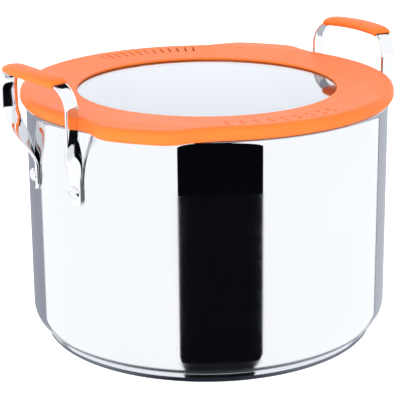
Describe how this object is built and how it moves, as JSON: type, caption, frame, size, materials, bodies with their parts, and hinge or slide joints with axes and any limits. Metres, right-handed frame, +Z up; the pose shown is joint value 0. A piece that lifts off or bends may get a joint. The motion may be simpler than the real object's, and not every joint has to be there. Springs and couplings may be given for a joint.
{
  "type": "water bath canner",
  "caption": "Straight-sided stainless steel canning pot with riveted side handles, a silicone-rimmed glass straining lid and a lift-out wire jar rack.",
  "frame": {"origin": "middle of the underside of the base, on the pot's axis", "axes": "+Z up along the pot's axis; +X through the middle of one side handle, -X through the other"},
  "size_m": [0.282, 0.2472, 0.1953],
  "materials": {
    "pot_steel": "stainless steel, mirror polished outside",
    "base_steel": "stainless steel, spun finish",
    "core_aluminium": "plain",
    "handle_steel": "stainless steel, mirror polished",
    "rivet_steel": "stainless steel, polished",
    "silicone": "moulded silicone, satin",
    "lid_glass": "tempered, clear",
    "rack_wire": "stainless steel wire, electropolished"
  },
  "bodies": {
    "pot": {"pot_body": "pot_steel", "base_core": "core_aluminium", "base_cap": "base_steel", "right_handle_strap": "handle_steel", "right_handle_grip": "silicone", "right_handle_front_rivet": "rivet_steel", "right_handle_rear_rivet": "rivet_steel", "left_handle_strap": "handle_steel", "left_handle_grip": "silicone", "left_handle_front_rivet": "rivet_steel", "left_handle_rear_rivet": "rivet_steel"},
    "lid": {"lid_glass": "lid_glass", "lid_ring": "silicone"},
    "rack": {"rack_outer_hoop": "rack_wire", "rack_hub_hoop": "rack_wire", "rack_spoke_1": "rack_wire", "rack_spoke_2": "rack_wire", "rack_spoke_3": "rack_wire", "rack_spoke_4": "rack_wire", "rack_spoke_5": "rack_wire", "rack_spoke_6": "rack_wire", "rack_foot_1": "rack_wire", "rack_foot_2": "rack_wire", "rack_foot_3": "rack_wire", "rack_foot_4": "rack_wire", "rack_right_lift_loop": "rack_wire", "rack_left_lift_loop": "rack_wire"}
  },
  "joints": [
    {"name": "lid_lift", "type": "slide", "parent": "pot", "child": "lid", "axis": [0, 0, 1], "range_m": [0, 0.42]},
    {"name": "rack_lift", "type": "slide", "parent": "pot", "child": "rack", "axis": [0, 0, 1], "range_m": [0, 0.21]}
  ],
  "couplings": [
    {"joint": "rack_lift", "follows": "lid_lift", "ratio": 0.5}
  ]
}
